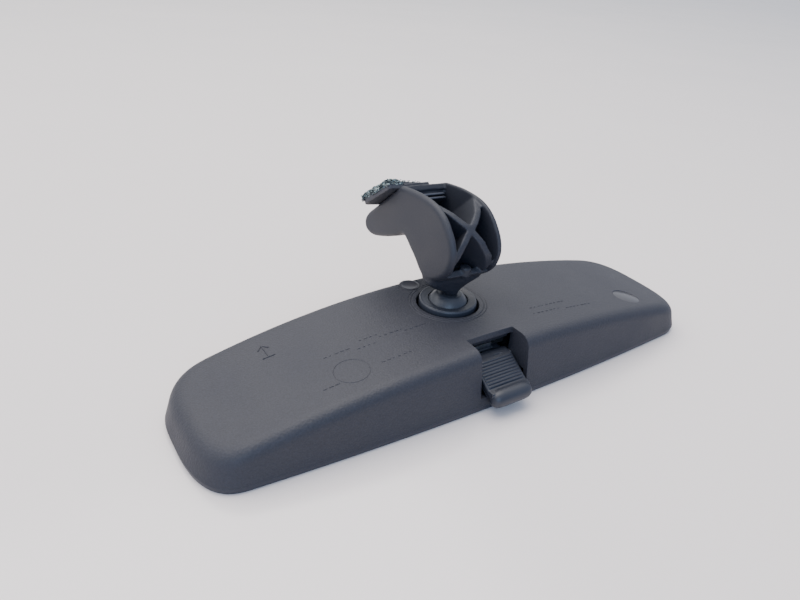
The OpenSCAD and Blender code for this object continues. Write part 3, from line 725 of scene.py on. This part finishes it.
# %% Arm solids
HALF_ARM, FLANGE, RIB = 12.5, 2.6, 2.7
FLOOR_POINT, PEAK_POINT = 2 * N - 3, (len(OUTER) - 1) * N
shelled = inset(side_view, RIB, side_out)
keep = np.concatenate([np.arange(PEAK_POINT, len(side_view)), np.arange(0, FLOOR_POINT)])
band_path = np.concatenate([side_view[keep], shelled[keep][::-1]])
x_in = HALF_ARM - FLANGE

ROOT = math.sqrt(0.5)
CREST = np.array([(28.4, 34.4), (31.6, 40.2), (36.8, 43.1), (43.8, 43.6), (50.1, 42.2), (56.2, 38.5),
                  (63.9, 30.7)])
WEB = np.array([(28.5, 27.5), (30.8, 20.6), (32.7, 18.6), (36.7, 17.3), (41.2, 16.8), (46.5, 15.6),
                (53.7, 13.3), (58.0, 12.5)])


def rib(points, thick=RIB):
    """A curved wall along an (x, v) path, from the web out to the crest."""
    path = spline(points, 10)
    run = np.gradient(path, axis=0)
    side = np.stack([-run[:, 1], run[:, 0]], 1) / np.linalg.norm(run, axis=1)[:, None] * thick / 2
    rings = []
    for p, s in zip(path, side):
        a, b = p - s, p + s
        corners = [(*a, "web"), (*b, "web"), (*b, "crest"), (*a, "crest")]
        ring = []
        for x, v, where in corners:
            w = np.interp(v, *WEB.T) + 0.2 if where == "web" else np.interp(v, *CREST.T) - 0.4
            ring.append((x, (v - w) * ROOT, (v + w) * ROOT))
        rings.append(np.array(ring))
    return tube(rings)


RIB_A = [(-11, 56.5), (-4, 46.1), (-0.5, 42.0), (3.8, 35.3), (6.5, 31.6), (8.6, 28.9)]
RIB_B = [(11, 57.1), (5, 48.0), (-0.5, 42.2), (-4, 38.7), (-7.5, 34.4), (-10.6, 30.6)]
# the stem as rows of (z, left x, right x, front y, rear y, squareness)
STEM = np.array([(28.85, -3.3, 3.3, 3.5, 10.1, 2), (30, -4.2, 3.75, 3.1, 10.5, 2),
                 (31, -5.8, 4.2, 2.8, 10.8, 2.1), (31.9, -8.0, 5.3, 2.6, 11.2, 2.4),
                 (33.1, -10.3, 6.9, 2.4, 11.9, 2.8), (34.6, -12.3, 9.4, 1.9, 13.2, 3.2),
                 (36.6, -12.3, 12.3, 1.2, 14.6, 4), (39.4, -12.3, 12.3, 0.6, 15.2, 5)])


def stem_ring(z, turns=72):
    """A superellipse between the four sides at a height: half a width times cos(a)^(2/p), and sin."""
    left, right_x, front, rear, p = [np.interp(z, STEM[:, 0], STEM[:, k]) for k in range(1, 6)]
    a = np.linspace(0, 2 * np.pi, turns, endpoint=False)
    c, t = np.cos(a), np.sin(a)
    return np.stack([(left + right_x) / 2 + (right_x - left) / 2 * np.sign(c) * np.abs(c) ** (2 / p),
                     (front + rear) / 2 + (rear - front) / 2 * np.sign(t) * np.abs(t) ** (2 / p),
                     np.full(turns, z)], 1)


neck = tube([stem_ring(z) for z in np.linspace(STEM[0, 0], STEM[-1, 0], 30)])
boss = lathe([(2.4, 40), (2.4, 43.9), (2.2, 44.25), (1.8, 44.4)], 40, centre=(0, -0.4, 0))
seat = bar(-x_in - 0.4, x_in + 0.4, [foot_line(*at) for at in ((1, -1.7), (1, -3.6), (27, -3.6), (27, -1.7))])
arm = build("arm_solids", posed(stack(
    slab(side_view, x_in, HALF_ARM, 0.35, 2.0), slab(side_view, -HALF_ARM, -x_in, 2.0, 0.35),
    bar(-x_in - 0.4, x_in + 0.4, band_path), rib(RIB_A), rib(RIB_B), neck, boss, seat)), merge=0)
cut(arm, posed(bar(-9.25, 5.2, [foot_line(*at) for at in ((3.9, 3), (3.9, -1.7), (24.4, -1.7), (24.4, 3))])))


def fused(piece, voxel, relax, name):
    """Fuses overlapping solids with a voxel remesh, then lets the surface relax a few times."""
    change = piece.modifiers.new("fuse", "REMESH")
    change.mode, change.voxel_size = "VOXEL", voxel * MM
    smooth = piece.modifiers.new("relax", "SMOOTH")
    smooth.factor, smooth.iterations = 0.5, relax
    applied(piece)
    piece.name = name
    piece.data.shade_smooth()
    return piece


fused(arm, 0.40, 7, "arm_moulded")
finished(arm, "arm", ["arm_moulding"], arm_plastic)

# %% [markdown]
# ## The foot: clip, button and bonding pad
# On the sloping foot sit a two-leaf spring clip, the steel button that was glued to the windscreen
# and the black bonding pad. They are slabs with rounded edges, drawn in a frame that lies on the
# foot: s runs down the slope and h stands out of it.

# %% Foot frame
def on_foot(points):
    """From (x, s, h) on the foot to the model, where h counts from the foot face, which is GROWN above
    the drawn side view."""
    x, s, h = np.asarray(points, float).T
    return stood(np.stack([x, *foot_line(s, h + GROWN)], 1))


def foot_slab(path, h0, h1, r0=0.2, r1=0.2, step=0.8, soften=2, wave=0.0):
    """A flat plate on the foot with rounded edges; wave makes its outline uneven, as if torn."""
    path = rounded(resampled(path, step), soften)
    if wave:
        path = path + normals_2d(path) * (chance.normal(0, wave, len(path)))[:, None]
    points, faces = slab(path, h0, h1, r0, r1, 4)
    return on_foot(points[:, [1, 2, 0]]), faces


BUTTON = [(-15.9, 2), (5.4, 7.2), (6.4, 8.6), (2.4, 25), (1, 25.8), (-18.4, 21.2), (-19.4, 19.6)]
STEP = [(-9, 4.2), (4.6, 7.5), (2.4, 24), (-9, 21.4)]
BUTTON_TOP, PAD_TOP, SEAT = 2.9, 3.5, 4.4
POST_AT, POST_R = (-2, 15, 0), 2.9
post = lathe([(POST_R, -SEAT - 3.1), (POST_R, 0.1)], 40, centre=POST_AT)
head = lathe([(3.9, -SEAT - 3.8), (4.2, -SEAT - 3.6), (4.2, -SEAT - 3.1), (4.0, -SEAT - 3.0),
              (POST_R, -SEAT - 3.0)], 40, centre=POST_AT)
button = build("windscreen_button_steel", stack(
    foot_slab(BUTTON, 0.05, BUTTON_TOP, 0.3, 0.35), foot_slab(STEP, -2.2, 1, 0.2, 0),
    *[(on_foot(p), f) for p, f in (post, head)]), sharp=50)


def box_at(x0, x1, s0, s1, h0, h1, r=0.12):
    """A small sheet-metal strip on the foot with slightly rounded edges."""
    return foot_slab([(x0, s0), (x1, s0), (x1, s1), (x0, s1)], h0, h1, r, r, step=1.2, soften=1)


CLIP_X, LEAF = 8.6, 0.8
leaves = [box_at(*strip, low, low + LEAF) for low in (-SEAT - 1, -SEAT - 2.7)
          for strip in ((-CLIP_X, CLIP_X, -1.2, 10.2), (-CLIP_X, -5.2, 10.0, 24.8),
                        (1.2, CLIP_X, 10.0, 24.8), (-5.3, 1.4, 19.6, 24.8))]
fold = box_at(-CLIP_X, CLIP_X, 24.0, 24.8, -SEAT - 2.7, -SEAT - 0.2)
clip = build("spring_clip_leaves", stack(*leaves, fold), sharp=50)

# %% [markdown]
# The button is phosphated steel, nearly black, with a finely pitted coat. The pad is a cured bonding
# film, matt and slightly rubbery, with a lumpy face where it was torn from the glass. The clip is
# rolled spring steel: its fine lines run one way, so the noise is stretched along X.

# %% Metal and pad finishes
def metal(name, colour, rough=0.35, lines=(1.0, 14.0, 14.0), scale=260.0, depth=0.004, dull=0.0):
    """Rolled, drawn or plated metal: stretched noise in roughness and bump, clouds in the colour."""
    made, tree, shader = material(name)
    place = node(tree, "ShaderNodeTexCoord").outputs["Object"]
    drawn = node(tree, "ShaderNodeMapping", None, Vector=place, Scale=lines).outputs[0]
    fine = node(tree, "ShaderNodeTexNoise", None, Vector=drawn, Scale=scale, Detail=5.0).outputs["Fac"]
    slow = node(tree, "ShaderNodeTexNoise", None, Vector=place, Scale=120.0, Detail=3.0).outputs["Fac"]
    tree.links.new(blended(tree, spread(tree, slow, 0, 1), [c * 0.8 for c in colour], colour),
                   shader.inputs["Base Color"])
    tree.links.new(spread(tree, fine, rough - 0.08, rough + 0.1), shader.inputs["Roughness"])
    bump = node(tree, "ShaderNodeBump", None, Strength=0.5, Distance=depth * MM, Height=fine)
    tree.links.new(bump.outputs[0], shader.inputs["Normal"])
    shader.inputs["Metallic"].default_value = 1.0 - dull
    return made


steel = metal("zinc plated steel", (0.62, 0.63, 0.65), 0.32)
spring_steel = metal("spring steel", (0.085, 0.092, 0.115), 0.42, dull=0.55)
die_cast = metal("die cast zinc", (0.30, 0.31, 0.33), 0.5, lines=(1.0, 1.0, 1.0), scale=900.0, depth=0.02)
black_coat = plastic("black phosphate coat", (0.046, 0.047, 0.056), rough=0.48, grain=0.5, depth=0.05,
                     edge=0.3, wear=0.9, cloud=0.3)
bond = plastic("torn bonding film", (0.034, 0.036, 0.043), rough=0.52, grain=0.9, depth=0.16, edge=0.2,
               wear=0.3, cloud=0.35)
finished(button, "arm", ["windscreen_button"], black_coat)
finished(clip, "arm", ["spring_clip"], spring_steel)
print("metals, coat and film")

# %% [markdown]
# ## Broken glass on the pad
# A mirror taken from a scrapped car keeps a crust of windscreen glass on its pad: small angular
# crumbs with a green cast, thick along one edge and only dust elsewhere. One crumb is an icosahedron
# whose points are pushed in and out and squeezed, which leaves flat, sharp faces. About 1700
# are placed at random inside the crust's outline. Real crumbs touch each other, so overlaps do no harm.

# %% Bonding pad and glass crumbs
CRUST = [(-16.8, 1.2), (-9.4, 2.8), (-6.4, 5.2), (-8.4, 9.6), (-11.4, 14), (-11.8, 20.6), (-15.4, 22.6),
         (-19.4, 21.8), (-20.2, 19.8)]
CRUST_TOP = [(-15.8, 2.6), (-11.6, 3.4), (-10.6, 8.8), (-13.4, 13.4), (-14.2, 19.8), (-18.2, 20.4),
             (-18.9, 18.6)]
pad_path = inset(rounded(resampled(BUTTON, 0.7), 1), 0.6)
torn = [(-8.4, 4.4), (4.6, 7.7), (5.7, 8.9), (1.8, 24.3), (0.6, 25.0), (-11.0, 22.2), (-10.8, 14.4),
        (-7.6, 10.0), (-5.5, 5.2)]
pad = build("bonding_pad", stack(
    foot_slab(pad_path, BUTTON_TOP - 0.02, PAD_TOP - 0.2, 0.1, 0.12, wave=0.05),
    foot_slab(torn, PAD_TOP - 0.25, PAD_TOP, 0.05, 0.18, step=0.7, wave=0.07)), sharp=60)
finished(pad, "arm", ["adhesive_pad"], bond)


def inside_of(path, points):
    """Which points lie inside a closed path, by counting how often a ray crosses it."""
    p, q = np.asarray(path, float), np.roll(np.asarray(path, float), -1, 0)
    x, y = points[:, 0, None], points[:, 1, None]
    crosses = (p[:, 1] > y) != (q[:, 1] > y)
    with np.errstate(divide="ignore", invalid="ignore"):
        at = p[:, 0] + (y - p[:, 1]) * (q[:, 0] - p[:, 0]) / (q[:, 1] - p[:, 1])
    return (crosses & (x < at)).sum(1) % 2 == 1


def crumbs(centres, sizes, flat=0.7):
    """One sharp crumb for each centre: an icosahedron, each point scaled by a random 0.62 to 1.2,
    turned at random and squeezed by flat across the foot."""
    g = (1 + math.sqrt(5)) / 2
    ico = np.array([(-1, g, 0), (1, g, 0), (-1, -g, 0), (1, -g, 0), (0, -1, g), (0, 1, g), (0, -1, -g),
                    (0, 1, -g), (g, 0, -1), (g, 0, 1), (-g, 0, -1), (-g, 0, 1)]) / math.hypot(1, g)
    tri = np.array([(0, 11, 5), (0, 5, 1), (0, 1, 7), (0, 7, 10), (0, 10, 11), (1, 5, 9), (5, 11, 4),
                    (11, 10, 2), (10, 7, 6), (7, 1, 8), (3, 9, 4), (3, 4, 2), (3, 2, 6), (3, 6, 8),
                    (3, 8, 9), (4, 9, 5), (2, 4, 11), (6, 2, 10), (8, 6, 7), (9, 8, 1)])
    count = len(centres)
    turn = np.linalg.qr(chance.normal(size=(count, 3, 3)))[0]
    points = ico[None] * chance.uniform(0.62, 1.2, (count, 12, 1)) * chance.uniform(0.6, 1.25, (count, 1, 3))
    points = np.einsum("nij,nkj->nki", turn, points) * sizes[:, None, None] / 2 * [1, 1, flat]
    points += centres[:, None]
    faces = tri[None] + 12 * np.arange(count)[:, None, None]
    return points.reshape(-1, 3), faces.reshape(-1, 3).tolist()


def scattered(path, count, low, high):
    """Random points inside a path on the foot, with heights between low and high."""
    lo, hi = np.min(path, 0), np.max(path, 0)
    plan = chance.uniform(lo, hi, (count * 4, 2))
    plan = plan[inside_of(path, plan)][:count]
    return np.column_stack([plan, chance.uniform(low, high, len(plan))])


base_in = inset(resampled(CRUST, 0.5), 0.3)
top_in = inset(resampled(CRUST_TOP, 0.5), 0.3)
places = scattered(base_in, 1500, 1.7, 4.1)
buried = inside_of(inset(resampled(BUTTON, 0.5), 0.9), places[:, :2]) & (places[:, 2] < 3.0)
places = np.concatenate([places[~buried], scattered(top_in, 420, 3.9, 4.7)])
lump = crumbs(places, chance.uniform(0.5, 1.5, len(places)))
lump[0][:, 2] = np.clip(lump[0][:, 2], 1.5, 4.95)
dust_path = inset(resampled(BUTTON, 0.7), 1.2)
strip = [(-9.0, 2.9), (3.0, 6.6), (5.2, 8.2), (4.4, 10.0), (-1.0, 8.0), (-6.0, 6.4)]
dust_places = np.concatenate([scattered(dust_path, 260, 3.46, 3.52), scattered(strip, 130, 3.45, 3.8)])
dust = crumbs(dust_places, chance.uniform(0.18, 0.62, len(dust_places)))
dust[0][:, 2] = np.clip(dust[0][:, 2], 3.2, 4.2)
points, faces = stack(lump, dust)
crust = build("glass_crumbs", (on_foot(points), faces), sharp=1, merge=0)

broken_glass, tree, shader = material("broken windscreen glass")
place = node(tree, "ShaderNodeTexCoord").outputs["Object"]
cells = node(tree, "ShaderNodeTexVoronoi", None, Vector=place, Scale=900.0).outputs["Color"]
shade = node(tree, "ShaderNodeSeparateColor", None, Color=cells).outputs[0]
tree.links.new(blended(tree, spread(tree, shade, 0, 1, 0.1, 0.9), (0.02, 0.035, 0.04), (0.50, 0.60, 0.58)),
               shader.inputs["Base Color"])
grind = node(tree, "ShaderNodeTexNoise", None, Vector=place, Scale=1400.0, Detail=3.0).outputs["Fac"]
tree.links.new(spread(tree, grind, 0.03, 0.30), shader.inputs["Roughness"])
shader.inputs["Transmission Weight"].default_value = 0.35
shader.inputs["IOR"].default_value = 1.52
finished(crust, "arm", ["glass_residue"], broken_glass)

# %% [markdown]
# ## The glass and the parts inside
# The prism glass, its silver coat and the parts behind them keep their CAD meshes, because flat
# polished glass and plain moulded or stamped parts need no new shape. Each still gets a real finish,
# since they show through the notch, at the ball joint and whenever the part is taken apart.

# %% Finishes for the kept CAD parts
clear_glass, tree, shader = material("prism glass")
place = node(tree, "ShaderNodeTexCoord").outputs["Object"]
wiped = node(tree, "ShaderNodeMapping", None, Vector=place, Scale=(1.0, 3.5, 1.0)).outputs[0]
smear = node(tree, "ShaderNodeTexNoise", None, Vector=wiped, Scale=45.0, Detail=6.0).outputs["Fac"]
tree.links.new(spread(tree, smear, 0.0, 0.06, 0.45, 0.8), shader.inputs["Roughness"])
shader.inputs["Base Color"].default_value = (0.93, 0.96, 0.95, 1)
shader.inputs["Transmission Weight"].default_value = 1.0
shader.inputs["IOR"].default_value = 1.52
silver = metal("silver coat", (0.93, 0.94, 0.95), 0.03, scale=700.0, depth=0.0005)
silver.node_tree.nodes["Principled BSDF"].inputs["Metallic"].default_value = 1.0
film = plastic("black printed film", (0.028, 0.028, 0.030), rough=0.6, grain=0.8, depth=0.01)
foam = plastic("closed cell foam", (0.09, 0.09, 0.10), rough=0.9, grain=0.9, depth=0.25, gloss=0.2,
               cloud=0.25)
carrier_plastic = plastic("carrier plastic", (0.045, 0.046, 0.052), rough=0.5, grain=0.5, depth=0.01)
acetal = plastic("acetal bearing", (0.62, 0.60, 0.54), rough=0.3, grain=0.4, depth=0.003, cloud=0.05)
kept = {"mirror_glass": clear_glass, "silver_coating": silver, "backing_film": film, "foam_cushions": foam,
        "carrier": carrier_plastic, "carrier_screws": steel, "hinge_pin": steel, "lever_pin": steel,
        "detent_spring": spring_steel, "pivot_bracket": die_cast, "ball_liner": socket_plastic,
        "disc_spring": spring_steel, "pressure_pad": acetal, "ball_stud": steel}
remade = {"back_cover": case_plastic, "bezel": bezel_plastic, "dip_lever": lever_plastic,
          "socket_collar": socket_plastic, "pivot_ball": ball_plastic, "arm_moulding": arm_plastic,
          "windscreen_button": black_coat, "spring_clip": spring_steel, "adhesive_pad": bond,
          "glass_residue": broken_glass}
for name, finish in {**kept, **remade}.items():
    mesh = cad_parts[name].data
    mesh.materials.clear()
    mesh.materials.append(finish)
print(len(kept), "CAD parts kept,", len(remade), "made again; unfinished:",
      sorted(set(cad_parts) - set(kept) - set(remade)))

# %% [markdown]
# ## Table and light
# The part lies on a plain, nearly white, slightly glossy table. The light is a bright, even room: a
# world that is bluer and darker towards -Y, one very large soft panel overhead for gentle shadows, a
# weak one to the left that draws a sheen along the edges, and a cool one on the lever's side. Small
# hard lamps would throw dark shadows that plastic this dark can't carry.

# %% Table
table_white, tree, shader = material("white table")
place = node(tree, "ShaderNodeTexCoord").outputs["Object"]
faint = node(tree, "ShaderNodeTexNoise", None, Vector=place, Scale=6.0, Detail=3.0).outputs["Fac"]
tree.links.new(blended(tree, faint, (0.82, 0.755, 0.73), (0.84, 0.775, 0.75)), shader.inputs["Base Color"])
tree.links.new(spread(tree, faint, 0.16, 0.22), shader.inputs["Roughness"])
reach = np.linspace(-8, 8, 9)
gx, gy = np.meshgrid(reach, reach)
table_points = np.stack([gx, gy, np.full_like(gx, -0.00008)], -1).reshape(-1, 3) / MM
table = build("table", (table_points, quads(9, 9)), merge=0)
table.data.materials.append(table_white)
if table.data.polygons[0].normal.z < 0:
    table.data.flip_normals()


def panel(name, place, size, watts, colour, aim=(0, 0, 0)):
    """A square soft light at a place, turned to face a point."""
    data = bpy.data.lights.new(name, "AREA")
    data.shape, data.size, data.size_y = "RECTANGLE", size[0], size[1]
    data.energy, data.color = watts, colour
    lamp = bpy.data.objects.new(name, data)
    back = np.asarray(place, float) - aim
    back /= np.linalg.norm(back)
    side = np.cross([0, 1, 0.001], back)
    side /= np.linalg.norm(side)
    high = np.cross(back, side)
    lamp.matrix_world = Matrix([[side[i], high[i], back[i], place[i]] for i in range(3)] + [[0, 0, 0, 1]])
    scene.collection.objects.link(lamp)
    return lamp


world = bpy.data.worlds.new("room")
world.use_nodes = True
sky = world.node_tree
heading = node(sky, "ShaderNodeTexCoord").outputs["Generated"]
way = node(sky, "ShaderNodeSeparateXYZ", None, Vector=heading).outputs
far = node(sky, "ShaderNodeMath", {"operation": "MULTIPLY_ADD"}, i0=way["Y"], i1=0.9, i2=way["Z"]).outputs[0]
sky.links.new(blended(sky, spread(sky, far, 0, 1, -0.5, 1.3), (0.28, 0.40, 0.66), (1.0, 1.0, 1.0)),
              sky.nodes["Background"].inputs["Color"])
sky.nodes["Background"].inputs["Strength"].default_value = 1.2
scene.world = world
panel("ceiling panel", (-0.1, 0.5, 1.5), (2.0, 1.6), 38, (1.0, 0.955, 0.925))
panel("window left", (-1.4, 0.5, 0.8), (0.9, 0.9), 3.5, (1.0, 0.97, 0.95), aim=(0, 0, 0.03))
panel("window behind", (-0.7, -1.2, 0.75), (1.2, 0.8), 9, (0.50, 0.70, 1.0), aim=(0, 0, 0.03))
print("three soft panels and a pale room")
